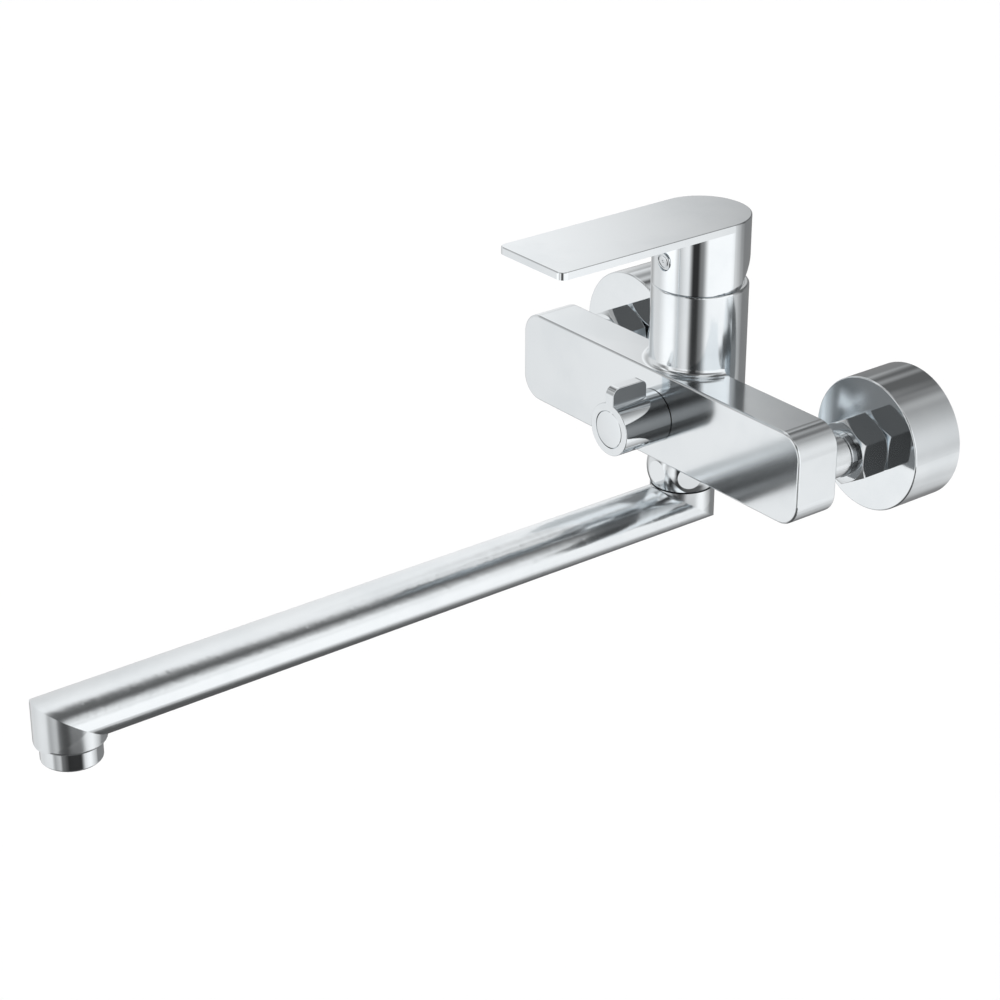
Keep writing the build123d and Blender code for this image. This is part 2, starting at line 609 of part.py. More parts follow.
def cartridge_ring():
    """Threaded ring that clamps the cartridge, notched for a pin spanner."""
    outer = RING_THREAD_RADIUS - SEAT
    ring = tube_z(outer, HOUSING_NECK_RADIUS + SEAT, HOUSING_SHOULDER, RING_TOP)
    half = RING_NOTCH_WIDTH / 2
    notch = block((-outer, outer), (-half, half), (RING_TOP - RING_NOTCH_DEPTH, RING_TOP))
    return Pos(0, TOWER_Y, 0) * (ring - notch - Rot(0, 0, 90) * notch)


def cartridge_shroud():
    """Domed cover screwed in above the ring, a zone of a sphere centred on the lever's pivot."""
    rise = TOWER_TOP - LEVER_PIVOT
    inner_sphere = SHROUD_SPHERE - SHROUD_THICKNESS
    foot_bore = sqrt(inner_sphere ** 2 - rise ** 2)
    dome = Sphere(SHROUD_SPHERE) - Sphere(inner_sphere)
    dome &= rod_z(SHROUD_SPHERE, rise, SHROUD_SPHERE)
    shroud = Pos(0, TOWER_Y, LEVER_PIVOT) * dome
    shroud += tube_z(RING_THREAD_RADIUS - SEAT, foot_bore, RING_TOP + SEAT, TOWER_TOP, y=TOWER_Y)
    return shroud - rod_z(SHROUD_OPENING, TOWER_TOP, LEVER_TOP, y=TOWER_Y)


def lever_outline():
    """Plate from above: round behind the tower's axis, nearly parallel towards a square tip."""
    corners = [
        (-TOWER_RADIUS, TOWER_Y), (-LEVER_HALF_WIDTH, LEVER_TIP),
        (LEVER_HALF_WIDTH, LEVER_TIP), (TOWER_RADIUS, TOWER_Y),
    ]
    plate = make_face(Polyline(*corners, close=True))
    plate = fillet(plate.vertices().sort_by(Axis.Y)[:2], LEVER_TIP_CORNER)
    return plate + Pos(0, TOWER_Y) * Circle(TOWER_RADIUS)


def cap_relief():
    """Wedge that clears the tower's rim as the lever lifts, shallow at the sides and steep behind."""
    knee = CAP_BOTTOM + RELIEF_KNEE_RISE
    end_y = 2 * TOWER_RADIUS
    end_z = knee + (end_y - RELIEF_KNEE) * tan(radians(RELIEF_ANGLE))
    floor = CAP_BOTTOM - CAP_ROOF
    corners = [
        (-RELIEF_START, CAP_BOTTOM), (RELIEF_KNEE, knee), (end_y, end_z),
        (end_y, floor), (-RELIEF_START, floor),
    ]
    profile = make_face(Polyline(*corners, close=True))
    return Pos(0, TOWER_Y, 0) * extrude(Plane.YZ * profile, WIDE, both=True)


def stem_socket(cap):
    """Post and screw boss inside the cap, with the square hole for the stem."""
    roof = (LEVER_TOP - CAP_ROOF / 2 - LEVER_PIVOT) / cos(radians(STEM_LEAN))
    boss_radius = PLUG_SHANK_RADIUS + SEAT + SET_SCREW_BOSS_WALL
    post = rod_z(STEM_SOCKET_RADIUS, STEM_SOCKET_START, roof)
    post += rod_y(boss_radius, -CAP_FACE, 0, z=SET_SCREW_HEIGHT)
    return (stem_place() * post) & cap


def stem_holes():
    """Square hole for the stem, tapped hole, access hole and plug seat."""
    half = STEM_FACE
    screw_end = STEM_FACE + SET_SCREW_LENGTH + FREE
    holes = block((-half, half), (-half, half), (0, STEM_REACH + FREE))
    holes += rod_y(SET_SCREW_RADIUS + SEAT, -screw_end, 0, z=SET_SCREW_HEIGHT)
    holes += rod_y(PLUG_SHANK_RADIUS + SEAT, -TOWER_RADIUS, -screw_end, z=SET_SCREW_HEIGHT)
    holes += rod_y(PLUG_RADIUS + SEAT, -TOWER_RADIUS, -PLUG_FLOOR, z=SET_SCREW_HEIGHT)
    return stem_place() * holes


def handle_lever():
    """Flat lever in one piece with its hollow round cap."""
    low = LEVER_TOP - LEVER_PLATE
    lever = Pos(0, 0, low) * extrude(lever_outline(), LEVER_PLATE)
    cap = rod_z(TOWER_RADIUS, CAP_BOTTOM, LEVER_TOP, y=TOWER_Y)
    lever += rod_z(TOWER_RADIUS, CAP_BOTTOM, low, y=TOWER_Y)
    lever = fillet(lever.faces().sort_by(Axis.Z)[-1].edges(), LEVER_EDGE)
    lever -= rod_z(CAP_BORE, CAP_BOTTOM, LEVER_TOP - CAP_ROOF, y=TOWER_Y)
    lever += stem_socket(cap)
    lever -= stem_holes()
    return lever - cap_relief()


def handle_set_screw():
    near = STEM_SIDE / 2
    far = near + SET_SCREW_LENGTH
    screw = rod_y(SET_SCREW_RADIUS, -far, -near)
    key = hexagon_y(SET_SCREW_KEY, -far, SET_SCREW_KEY_DEPTH - far)
    return stem_place() * Pos(0, 0, SET_SCREW_HEIGHT) * (screw - key)


def handle_plug():
    """Push-in plug over the set screw's hole."""
    face = -PLUG_FLOOR - PLUG_HEAD
    plug = rod_y(PLUG_RADIUS, face, -PLUG_FLOOR)
    plug += rod_y(PLUG_SHANK_RADIUS, -PLUG_FLOOR, PLUG_SHANK_LENGTH - PLUG_FLOOR)
    plug -= rod_y(PLUG_DIMPLE_RADIUS, face, face + PLUG_DIMPLE_DEPTH)
    return stem_place() * Pos(0, 0, SET_SCREW_HEIGHT) * plug


def valve_window_span():
    near = VALVE_THREAD_END + DRUM_FRONT
    return near, near + VALVE_WINDOW


def diverter_body():
    """Headwork: hexagon, thread and a sleeve with a window above and one below."""
    half = VALVE_WINDOW / 2
    body = hexagon_y(VALVE_HEX_FLATS, SLAB_FRONT - VALVE_HEX_HEIGHT, SLAB_FRONT)
    body += rod_y(PIPE_THREAD_RADIUS, SLAB_FRONT, VALVE_THREAD_END)
    body += rod_y(VALVE_SLEEVE_RADIUS, VALVE_THREAD_END, FIXED_VALVE_DISC_FRONT)
    body -= rod_y(SPINDLE_RADIUS + SLIP, SLAB_FRONT - VALVE_HEX_HEIGHT, VALVE_THREAD_END)
    body -= rod_y(SLEEVE_BORE, VALVE_THREAD_END, FIXED_VALVE_DISC_FRONT)
    window = block((-half, half), valve_window_span(), (-VALVE_SLEEVE_RADIUS, VALVE_SLEEVE_RADIUS))
    return body - window


def spindle_flats(radius, flat, near, far):
    """Round bar with two flats, one on each side."""
    return rod_y(radius, near, far) & block((-radius, radius), (near, far), (-flat, flat))


def spindle_ring_places():
    first = SLAB_FRONT + SPINDLE_RING_SECTION
    return [first, first + SPINDLE_RING_PITCH]


def drum_slot():
    """Wide way in that stays under the upper window over the whole quarter turn."""
    reach = 2 * DRUM_RADIUS
    angles = [DRUM_SLOT_FIRST_ANGLE, (DRUM_SLOT_FIRST_ANGLE + DRUM_SLOT_LAST_ANGLE) / 2, DRUM_SLOT_LAST_ANGLE]
    corners = [(0, 0)] + [(reach * cos(radians(a)), reach * sin(radians(a))) for a in angles]
    near, far = valve_window_span()
    fan = along_y(extrude(make_face(Polyline(*corners, close=True)), far - near))
    return Pos(0, near, 0) * mirror(fan, Plane.XY)


def diverter_spindle():
    """Spindle with a hollow drum that opens the way to the spout or closes it."""
    near, far = valve_window_span()
    half = VALVE_WINDOW / 2
    spindle = rod_y(SPINDLE_RADIUS, SLAB_FRONT - VALVE_HEX_HEIGHT, VALVE_THREAD_END + SEAT)
    spindle += spindle_flats(SPINDLE_RADIUS, SPINDLE_FLAT, SPINDLE_END + SEAT, SLAB_FRONT - VALVE_HEX_HEIGHT)
    for place in spindle_ring_places():
        groove = SPINDLE_RADIUS - SPINDLE_RING_SECTION
        spindle -= tube_y(WIDE, groove, place, place + SPINDLE_RING_SECTION + SLIP)
    drum = rod_y(DRUM_RADIUS, VALVE_THREAD_END + SEAT, MOVING_VALVE_DISC_FRONT)
    drum_floor = MOVING_VALVE_DISC_FRONT - DRUM_FLOOR
    drum -= rod_y(DRUM_RADIUS - DRUM_WALL, near, drum_floor)
    drum -= block((-half, half), (near, far), (-DRUM_RADIUS, 0))
    drum -= drum_slot() - rod_y(DRUM_RADIUS - DRUM_WALL, near, far)
    drum -= rod_y(VALVE_PORT_RADIUS, drum_floor, MOVING_VALVE_DISC_FRONT, x=VALVE_PORT_OFFSET)
    spindle += drum
    return spindle - rod_y(KNOB_SCREW_RADIUS + SEAT, SPINDLE_END, KNOB_WEB_FRONT + KNOB_SCREW_LENGTH + FREE)


def spindle_rings():
    rings = []
    inner = SPINDLE_RADIUS - SPINDLE_RING_SECTION
    for place in spindle_ring_places():
        near = place + SLIP / 2
        rings.append(tube_y(SPINDLE_RADIUS, inner, near, near + SPINDLE_RING_SECTION))
    return Compound(rings)


def diverter_moving_disc():
    near = MOVING_VALVE_DISC_FRONT
    far = FIXED_VALVE_DISC_FRONT
    disc = rod_y(DRUM_RADIUS - SLIP, near, far)
    return disc - rod_y(VALVE_PORT_RADIUS, near, far, x=VALVE_PORT_OFFSET)


def diverter_fixed_disc():
    """Its port meets the moving disc's port after a quarter turn."""
    disc = rod_y(VALVE_SLEEVE_RADIUS, FIXED_VALVE_DISC_FRONT, VALVE_SEAL_FRONT)
    return disc - rod_y(VALVE_PORT_RADIUS, FIXED_VALVE_DISC_FRONT, VALVE_SEAL_FRONT, z=-VALVE_PORT_OFFSET)


def diverter_end_seal():
    return tube_y(VALVE_SLEEVE_RADIUS, VALVE_PORT_OFFSET + VALVE_PORT_RADIUS, VALVE_SEAL_FRONT, VALVE_BACK)


def knob_tab():
    """Flat tab with two rounded upper corners."""
    half = TAB_THICKNESS / 2
    tab = block((-half, half), (KNOB_FACE, KNOB_FACE + TAB_LENGTH), (0, TAB_TOP))
    tops = tab.edges().filter_by(Axis.X).sort_by(Axis.Z)[-2:].sort_by(Axis.Y)
    tab = fillet(tops[0], TAB_FRONT_ROUND)
    tops = tab.edges().filter_by(Axis.X).sort_by(Axis.Y)
    back_top = [edge for edge in tops if edge.center().Z > TAB_TOP - SEAT][-1]
    return fillet(back_top, TAB_BACK_ROUND)


def diverter_knob():
    """Round knob with its tab, hollow behind over the headwork's hexagon."""
    hub_front = KNOB_BACK - KNOB_HOLLOW
    knob = rod_y(KNOB_RADIUS, KNOB_FACE, KNOB_BACK) + knob_tab()
    knob = fillet(knob.faces().sort_by(Axis.Y)[0].edges(), KNOB_EDGE)
    knob -= rod_y(KNOB_BORE, hub_front, KNOB_BACK)
    knob -= spindle_flats(SPINDLE_RADIUS + SEAT, SPINDLE_FLAT + SEAT, SPINDLE_END, hub_front)
    knob -= rod_y(KNOB_SCREW_RADIUS + SEAT, KNOB_FACE, SPINDLE_END)
    knob -= rod_y(KNOB_SCREW_HEAD_RADIUS + SEAT, KNOB_FACE, KNOB_WEB_FRONT)
    return knob - rod_y(CAP_DISC_RADIUS + SEAT, KNOB_FACE, KNOB_FACE + CAP_DISC_THICKNESS)


def knob_screw():
    screw = rod_y(KNOB_SCREW_HEAD_RADIUS, KNOB_SCREW_TOP, KNOB_WEB_FRONT)
    screw += rod_y(KNOB_SCREW_RADIUS, KNOB_WEB_FRONT, KNOB_WEB_FRONT + KNOB_SCREW_LENGTH)
    return screw - hexagon_y(KNOB_SCREW_KEY, KNOB_SCREW_TOP, KNOB_SCREW_TOP + KNOB_SCREW_KEY_DEPTH)


def knob_cap_disc():
    return rod_y(CAP_DISC_RADIUS, KNOB_FACE, KNOB_FACE + CAP_DISC_THICKNESS)


def swivel_nut():
    """Zone of a sphere with six round flats, tapped above and lipped below."""
    middle = (SWIVEL_NUT_TOP + SWIVEL_NUT_BOTTOM) / 2
    hexagon = extrude(RegularPolygon(SWIVEL_NUT_FLATS / 2, 6, major_radius=False), SWIVEL_NUT_HEIGHT)
    nut = Pos(0, 0, middle) * Sphere(SWIVEL_NUT_RADIUS) & Pos(0, 0, SWIVEL_NUT_BOTTOM) * hexagon
    nut -= rod_z(SWIVEL_THREAD_RADIUS + SEAT, SWIVEL_LIP_TOP, SWIVEL_NUT_TOP)
    return Pos(0, SPOUT_Y, 0) * (nut - rod_z(SWIVEL_BORE_RADIUS + SEAM, SWIVEL_NUT_BOTTOM, SWIVEL_LIP_TOP))


def slip_ring_bottoms():
    return [SWIVEL_THREAD_END - SLIP - SLIP_RING_HEIGHT, SWIVEL_LIP_TOP]


def slip_rings():
    rings = []
    for bottom in slip_ring_bottoms():
        top = bottom + SLIP_RING_HEIGHT
        rings.append(tube_z(SWIVEL_COLLAR_RADIUS, TAIL_RADIUS + SEAM, bottom, top, y=SPOUT_Y))
    return Compound(rings)


def tail_ring_tops():
    first = SWIVEL_BORE_END - SEAM - O_RING_FIRST
    return [first - i * O_RING_PITCH for i in range(2)]


def spout_tail():
    """Tube that turns in the body, with a collar held between the slip rings."""
    upper, lower = slip_ring_bottoms()
    tail = rod_z(TAIL_RADIUS, SPOUT_TOP - TAIL_SOCKET_DEPTH, SWIVEL_BORE_END - SEAM, y=SPOUT_Y)
    tail += rod_z(SWIVEL_COLLAR_RADIUS, lower + SLIP_RING_HEIGHT + SLIP, upper - SLIP, y=SPOUT_Y)
    groove = TAIL_RADIUS - O_RING_SECTION
    for top in tail_ring_tops():
        tail -= tube_z(WIDE, groove, top - O_RING_SECTION - SLIP, top, y=SPOUT_Y)
    return tail - rod_z(TAIL_BORE_RADIUS, SPOUT_TOP - TAIL_SOCKET_DEPTH, SWIVEL_BORE_END, y=SPOUT_Y)


def tail_o_rings():
    rings = []
    inner = TAIL_RADIUS - O_RING_SECTION
    for top in tail_ring_tops():
        high = top - SLIP / 2
        rings.append(tube_z(TAIL_RADIUS, inner, high - O_RING_SECTION, high, y=SPOUT_Y))
    return Compound(rings)


def oval_bar(half_width, half_height, near, far):
    """Bar along Y with the spout's oval section."""
    start = Plane(origin=(0, near, SPOUT_Z), x_dir=(1, 0, 0), z_dir=(0, 1, 0))
    return extrude(start * Ellipse(half_width, half_height), far - near)


def spout_shell():
    """Oval bar with round ends, a flat round top at the root and a round foot at the outlet."""
    width = SPOUT_HALF_WIDTH
    plan = block((-width, width), (OUTLET_Y, SPOUT_Y), (SPOUT_BOTTOM, SPOUT_TOP))
    plan += rod_z(width, SPOUT_BOTTOM, SPOUT_TOP, y=OUTLET_Y)
    plan += rod_z(width, SPOUT_BOTTOM, SPOUT_TOP, y=SPOUT_Y)
    shell = oval_bar(width, SPOUT_HALF_HEIGHT, OUTLET_Y - width, SPOUT_Y + width) & plan
    shell += rod_z(width, SPOUT_Z, SPOUT_TOP, y=SPOUT_Y)
    outlet = rod_z(width, SPOUT_BOTTOM, SPOUT_Z, y=OUTLET_Y)
    return shell + fillet(outlet.faces().sort_by(Axis.Z)[0].edges(), OUTLET_EDGE)


def spout_waterway():
    """Inside of the spout, from the tail's socket to the aerator's seat."""
    half_width = SPOUT_HALF_WIDTH - SPOUT_WALL
    half_height = SPOUT_HALF_HEIGHT - SPOUT_WALL
    floor = OUTLET_SEAT + SPOUT_WALL
    join = OUTLET_Y + SPOUT_HALF_WIDTH + SPOUT_WALL
    way = oval_bar(half_width, half_height, join, SPOUT_Y)
    over_seat = block((-half_width, half_width), (OUTLET_Y, join), (floor, SPOUT_TOP))
    way += oval_bar(half_width, half_height, OUTLET_Y, join) & over_seat
    way += rod_z(TAIL_RADIUS + SEAT, SPOUT_TOP - TAIL_SOCKET_DEPTH, SPOUT_TOP, y=SPOUT_Y)
    way += rod_z(TAIL_BORE_RADIUS, SPOUT_Z, SPOUT_TOP, y=SPOUT_Y)
    way += rod_z(AERATOR_THREAD_RADIUS + SEAT, SPOUT_BOTTOM, OUTLET_SEAT, y=OUTLET_Y)
    drop = rod_z(AERATOR_THREAD_RADIUS - AERATOR_WASHER_WIDTH, OUTLET_SEAT, SPOUT_TOP, y=OUTLET_Y)
    return way + (drop & oval_bar(half_width, half_height, OUTLET_Y - half_width, join))


def spout_tube():
    return spout_shell() - spout_waterway()


def aerator_housing():
    """Threaded brass cup with a plain round head and a ledge for the insert."""
    low = AERATOR_BOTTOM
    shoulder = SPOUT_BOTTOM - SEAM
    housing = rod_z(AERATOR_RADIUS, low, shoulder, y=OUTLET_Y)
    housing = fillet(housing.faces().sort_by(Axis.Z)[0].edges(), AERATOR_EDGE)
    housing += rod_z(AERATOR_THREAD_RADIUS, shoulder, AERATOR_TOP, y=OUTLET_Y)
    housing -= rod_z(AERATOR_BORE, low + AERATOR_RECESS, AERATOR_TOP, y=OUTLET_Y)
    return housing - rod_z(AERATOR_BORE - AERATOR_LEDGE, low, low + AERATOR_RECESS, y=OUTLET_Y)


def grid_cells():
    """Centres of a round patch of hexagonal cells."""
    pitch = GRID_CELL + GRID_WEB
    cells = []
    for row in range(-GRID_RINGS, GRID_RINGS + 1):
        for step in range(2 * GRID_RINGS + 1 - abs(row)):
            x = (step - GRID_RINGS + abs(row) / 2) * pitch
            cells.append((x, row * pitch * cos(radians(HEXAGON_HALF_SIDE))))
    return cells


def aerator_insert():
    """Plastic insert whose lower face is a honeycomb."""
    low = AERATOR_BOTTOM + AERATOR_RECESS
    radius = AERATOR_BORE - SEAT
    insert = rod_z(radius, low, low + INSERT_HEIGHT)
    insert -= rod_z(radius - INSERT_WALL, low + GRID_HEIGHT, low + INSERT_HEIGHT)
    outline = RegularPolygon(GRID_CELL / 2, 6, major_radius=False, rotation=HEXAGON_HALF_SIDE)
    cell = extrude(outline, GRID_HEIGHT)
    for x, y in grid_cells():
        insert -= Pos(x, y, low) * cell
    return Pos(0, OUTLET_Y, 0) * insert


def aerator_washer():
    inner = AERATOR_THREAD_RADIUS - AERATOR_WASHER_WIDTH
    return tube_z(AERATOR_THREAD_RADIUS, inner, AERATOR_TOP, OUTLET_SEAT, y=OUTLET_Y)


def shower_nipple():
    """Nipple screwed into the boss, with the hose thread beyond its flange."""
    socket_start = SHOWER_BOSS_LENGTH - SHOWER_SOCKET_DEPTH
    flange_end = SHOWER_BOSS_LENGTH + SHOWER_FLANGE
    nipple = rod_z(SHOWER_SOCKET_RADIUS - SEAT, socket_start + SEAT, SHOWER_BOSS_LENGTH)
    nipple += rod_z(SHOWER_BOSS_RADIUS, SHOWER_BOSS_LENGTH, flange_end)
    nipple += rod_z(PIPE_THREAD_RADIUS, flange_end, SHOWER_END)
    nipple -= rod_z(CHECK_VALVE_RADIUS - CHECK_VALVE_WALL, socket_start, SHOWER_END)
    nipple -= rod_z(CHECK_VALVE_RADIUS + SEAT, SHOWER_END - CHECK_VALVE_LENGTH, SHOWER_END)
    return shower_place() * nipple


def check_valve():
    """Non-return insert: a ring with a crosspiece, pressed into the nipple's mouth."""
    low = SHOWER_END - CHECK_VALVE_LENGTH
    bore = CHECK_VALVE_RADIUS - CHECK_VALVE_WALL
    half = CHECK_VALVE_WALL / 2
    valve = tube_z(CHECK_VALVE_RADIUS, bore, low, SHOWER_END)
    valve += block((-bore, bore), (-half, half), (low, low + bore))
    valve += block((-half, half), (-bore, bore), (low, low + bore))
    return shower_place() * valve


def sided(name, shape):
    """The same piece on the left and on the right inlet."""
    half = INLET_SPACING / 2
    return {f"{name}_left": Pos(-half, 0, 0) * shape, f"{name}_right": Pos(half, 0, 0) * shape}


PARTS = {
    "mixer_body": mixer_body(),
    **sided("eccentric_union", eccentric_union()),
    **sided("union_nut", union_nut()),
    **sided("union_washer", union_washer()),
    **sided("nut_retainer", nut_retainer()),
    **sided("wall_rosette", wall_rosette()),
    "cartridge_base": cartridge_base(),
    "cartridge_base_seals": base_seals(),
    "cartridge_fixed_disc": fixed_disc(),
    "cartridge_moving_disc": moving_disc(),
    "cartridge_disc_carrier": disc_carrier(),
    "cartridge_housing": cartridge_housing(),
    "cartridge_rotor": cartridge_rotor(),
    "cartridge_pivot_pin": pivot_pin(),
    "cartridge_stem": lever_stem(),
    "cartridge_ring": cartridge_ring(),
    "cartridge_shroud": cartridge_shroud(),
    "handle_lever": handle_lever(),
    "handle_set_screw": handle_set_screw(),
    "handle_plug": handle_plug(),
    "diverter_body": diverter_body(),
    "diverter_spindle": diverter_spindle(),
    "diverter_spindle_rings": spindle_rings(),
    "diverter_moving_disc": diverter_moving_disc(),
    "diverter_fixed_disc": diverter_fixed_disc(),
    "diverter_end_seal": diverter_end_seal(),
    "diverter_knob": diverter_knob(),
    "diverter_knob_screw": knob_screw(),
    "diverter_knob_disc": knob_cap_disc(),
    "spout_swivel_nut": swivel_nut(),
    "spout_slip_rings": slip_rings(),
    "spout_tail": spout_tail(),
    "spout_o_rings": tail_o_rings(),
    "spout_tube": spout_tube(),
    "aerator_housing": aerator_housing(),
    "aerator_insert": aerator_insert(),
    "aerator_washer": aerator_washer(),
    "shower_nipple": shower_nipple(),
    "shower_check_valve": check_valve(),
}

os.makedirs("parts", exist_ok=True)
for node, shape in PARTS.items():
    export_step(Pos(0, 0, ECCENTRIC_OFFSET) * shape, f"parts/{node}.step")
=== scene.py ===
from math import cos, pi, radians, sin, tau

import bmesh
import bpy
from mathutils import Matrix, Vector


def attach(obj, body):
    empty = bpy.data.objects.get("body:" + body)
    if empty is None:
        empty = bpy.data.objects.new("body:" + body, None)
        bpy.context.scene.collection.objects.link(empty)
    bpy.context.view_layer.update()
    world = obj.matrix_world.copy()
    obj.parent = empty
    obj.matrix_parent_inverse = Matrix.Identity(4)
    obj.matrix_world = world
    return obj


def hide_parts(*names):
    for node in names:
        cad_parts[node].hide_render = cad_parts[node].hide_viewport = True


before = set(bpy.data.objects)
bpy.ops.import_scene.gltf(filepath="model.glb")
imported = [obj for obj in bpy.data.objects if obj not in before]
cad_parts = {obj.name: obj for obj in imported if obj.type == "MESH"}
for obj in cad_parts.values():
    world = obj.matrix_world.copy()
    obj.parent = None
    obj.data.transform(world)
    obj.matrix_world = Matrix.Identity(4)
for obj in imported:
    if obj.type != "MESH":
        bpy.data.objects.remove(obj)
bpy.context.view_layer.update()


# ---- Slab and tower ------------------------------------------------------------------
# One brass casting: a flat slab with the cartridge tower cast on behind it. It is ground,
# polished on a cloth wheel, nickelled and chromed, so its mirror carries the wheel's faint
# ripple and a few dried water marks.

class Value:
    """A socket of a finish that is written in sums like a number."""

    def __init__(self, finish, socket):
        self.finish = finish
        self.socket = socket

    def term(self, operation, first, second):
        return self.finish.node("Math", {"operation": operation}, {0: first, 1: second})

    def __add__(self, other):
        return self.term("ADD", self, other)

    def __radd__(self, other):
        return self.term("ADD", other, self)

    def __sub__(self, other):
        return self.term("SUBTRACT", self, other)

    def __rsub__(self, other):
        return self.term("SUBTRACT", other, self)

    def __mul__(self, other):
        return self.term("MULTIPLY", self, other)

    def __rmul__(self, other):
        return self.term("MULTIPLY", other, self)

    def ramp(self, low, high):
        """0 at low, 1 at high, and a smooth rise between."""
        sockets = {"Value": self, "From Min": low, "From Max": high}
        return self.finish.node("MapRange", {"interpolation_type": "SMOOTHSTEP"}, sockets)


class Finish:
    """The node tree of a material, or of the studio round the mixer."""

    def __init__(self, holder):
        self.holder = holder
        self.holder.use_nodes = True
        self.tree = self.holder.node_tree
        self.tree.nodes.clear()

    def node(self, kind, settings, sockets, output=0):
        node = self.tree.nodes.new("ShaderNode" + kind)
        for name, setting in settings.items():
            setattr(node, name, setting)
        for name, value in sockets.items():
            if isinstance(value, Value):
                self.tree.links.new(value.socket, node.inputs[name])
            else:
                node.inputs[name].default_value = value
        return Value(self, node.outputs[output]) if node.outputs else None

    def place(self, stretch=(1.0, 1.0, 1.0), centre=(0.0, 0.0, 0.0)):
        """The piece's own coordinates in metres, taken from a centre and stretched."""
        here = self.node("TexCoord", {}, {}, "Object")
        moved = self.node("VectorMath", {"operation": "SUBTRACT"}, {0: here, 1: centre})
        return self.node("VectorMath", {"operation": "MULTIPLY"}, {0: moved, 1: stretch})

    def noise(self, where, scale, detail=2.0, roughness=0.5):
        sockets = {"Vector": where, "Scale": scale, "Detail": detail, "Roughness": roughness}
        return self.node("TexNoise", {}, sockets, "Fac")

    def blend(self, amount, first, second):
        """The first colour where the amount is 0 and the second where it is 1."""
        sockets = {0: amount, 6: (*first, 1.0), 7: (*second, 1.0)}
        return self.node("Mix", {"data_type": "RGBA"}, sockets, 2)

    def bump(self, height, distance):
        return self.node("Bump", {}, {"Height": height, "Distance": distance})

    def shaded(self, base, roughness, normal, **fixed):
        """Closes a material with its shader and gives the material."""
        sockets = {"Base Color": base, "Roughness": roughness, "Normal": normal}
        sockets.update({name.replace("_", " "): value for name, value in fixed.items()})
        self.node("OutputMaterial", {}, {"Surface": self.node("BsdfPrincipled", {}, sockets)})
        return self.holder


PLATE = (0.872, 0.904, 0.925)
HAZED_PLATE = (0.83, 0.866, 0.89)


def chrome(name, rough, ripple, grain=(1.0, 1.0, 1.0)):
    """Bright chrome plate whose polishing ripple may be drawn out along one way."""
    finish = Finish(bpy.data.materials.new(name))
    where = finish.place()
    wheel = finish.noise(finish.place(grain), scale=70.0)
    haze = finish.noise(where, scale=24.0, detail=4.0, roughness=0.6).ramp(0.42, 0.68)
    spots = finish.noise(where, scale=480.0, detail=3.0, roughness=0.6).ramp(0.66, 0.74)
    return finish.shaded(
        finish.blend(haze, PLATE, HAZED_PLATE),
        rough + haze * 0.018 + spots * 0.05,
        finish.bump(wheel, ripple),
        Metallic=1.0,
    )


def dress(finish, *nodes):
    """Gives CAD nodes their finish."""
    for node in nodes:
        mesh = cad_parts[node].data
        mesh.materials.clear()
        mesh.materials.append(finish)


dress(chrome("body_chrome", rough=0.12, ripple=0.00001), "mixer_body")


# ---- Wall unions ---------------------------------------------------------------------
# An eccentric union of chromed brass screws into each wall elbow and is turned until the
# two inlets lie level. Both its threads are cut on a lathe.

MM = 0.001
INLETS = (("left", -75.0), ("right", 75.0))
RISE = 7.5  # how far the nuts' line lies above the wall fittings' line
PIPE_THREAD = 10.48  # outside radius of a half-inch pipe thread


def turned(profile, steps=96):
    """A closed shell turned about Z from a ring of (radius, height) points in millimetres."""
    shape = bmesh.new()
    points = [shape.verts.new((radius * MM, 0.0, height * MM)) for radius, height in profile]
    for first, second in zip(points, points[1:] + points[:1]):
        if first.co.x + second.co.x > 0.0:
            shape.edges.new((first, second))
    bmesh.ops.spin(shape, geom=shape.verts[:] + shape.edges[:], cent=(0, 0, 0), axis=(0, 0, 1),
                   angle=tau, steps=steps, use_merge=True)
    bmesh.ops.remove_doubles(shape, verts=shape.verts, dist=0.001 * MM)
    bmesh.ops.recalc_face_normals(shape, faces=shape.faces)
    return shape


def rounded(shape, sharpness, offset, segments=3):
    """Rounds every edge that turns by more than an angle in degrees."""
    edges = [edge for edge in shape.edges
             if edge.is_manifold and edge.calc_face_angle() > radians(sharpness)]
    bmesh.ops.bevel(shape, geom=edges, offset=offset * MM, affect="EDGES", segments=segments,
                    profile=0.5, material=-1, clamp_overlap=True)
    return shape


def moved(shape, x, y, z):
    bmesh.ops.translate(shape, verts=shape.verts, vec=Vector((x, y, z)) * MM)
    return shape


def turned_over(shape, angle):
    """Turns a shape about X by an angle in degrees: 90 points its top forward, -90 backward."""
    bmesh.ops.rotate(shape, verts=shape.verts, matrix=Matrix.Rotation(radians(angle), 3, "X"))
    return shape


def thread(radius, low, high, pitch=1.814, depth=1.0, steps=48):
    """A screw thread: one tooth swept round a helix, running out to nothing at both ends. The
    pitch is that of a half-inch pipe thread, 14 turns to the inch."""
    root = radius - depth
    buried = root - 0.2
    foot = 0.44 * pitch  # half the tooth's width at its root
    crest = 0.12  # half its width at the top
    run_out = 1.5 * pitch
    tooth = [(buried, -foot), (root, -foot), (radius, -crest), (radius, crest), (root, foot),
             (buried, foot)]
    shape = bmesh.new()
    start = low + foot
    face = shape.faces.new([shape.verts.new((r * MM, 0.0, (start + z) * MM)) for r, z in tooth])
    count = int((high - low - 2.0 * foot) / pitch * steps)
    bmesh.ops.spin(shape, geom=[face], cent=(0, 0, 0), axis=(0, 0, 1),
                   angle=tau * count / steps, steps=count, dvec=(0, 0, pitch * MM / steps))
    for vert in shape.verts:
        reach = vert.co.xy.length / MM
        end = min(vert.co.z / MM - low, high - vert.co.z / MM)
        if reach > root:
            height = (reach - root) * min(1.0, end / run_out)
            vert.co.xy *= (root - 0.05 + height) / reach
    bmesh.ops.recalc_face_normals(shape, faces=shape.faces)
    return shape


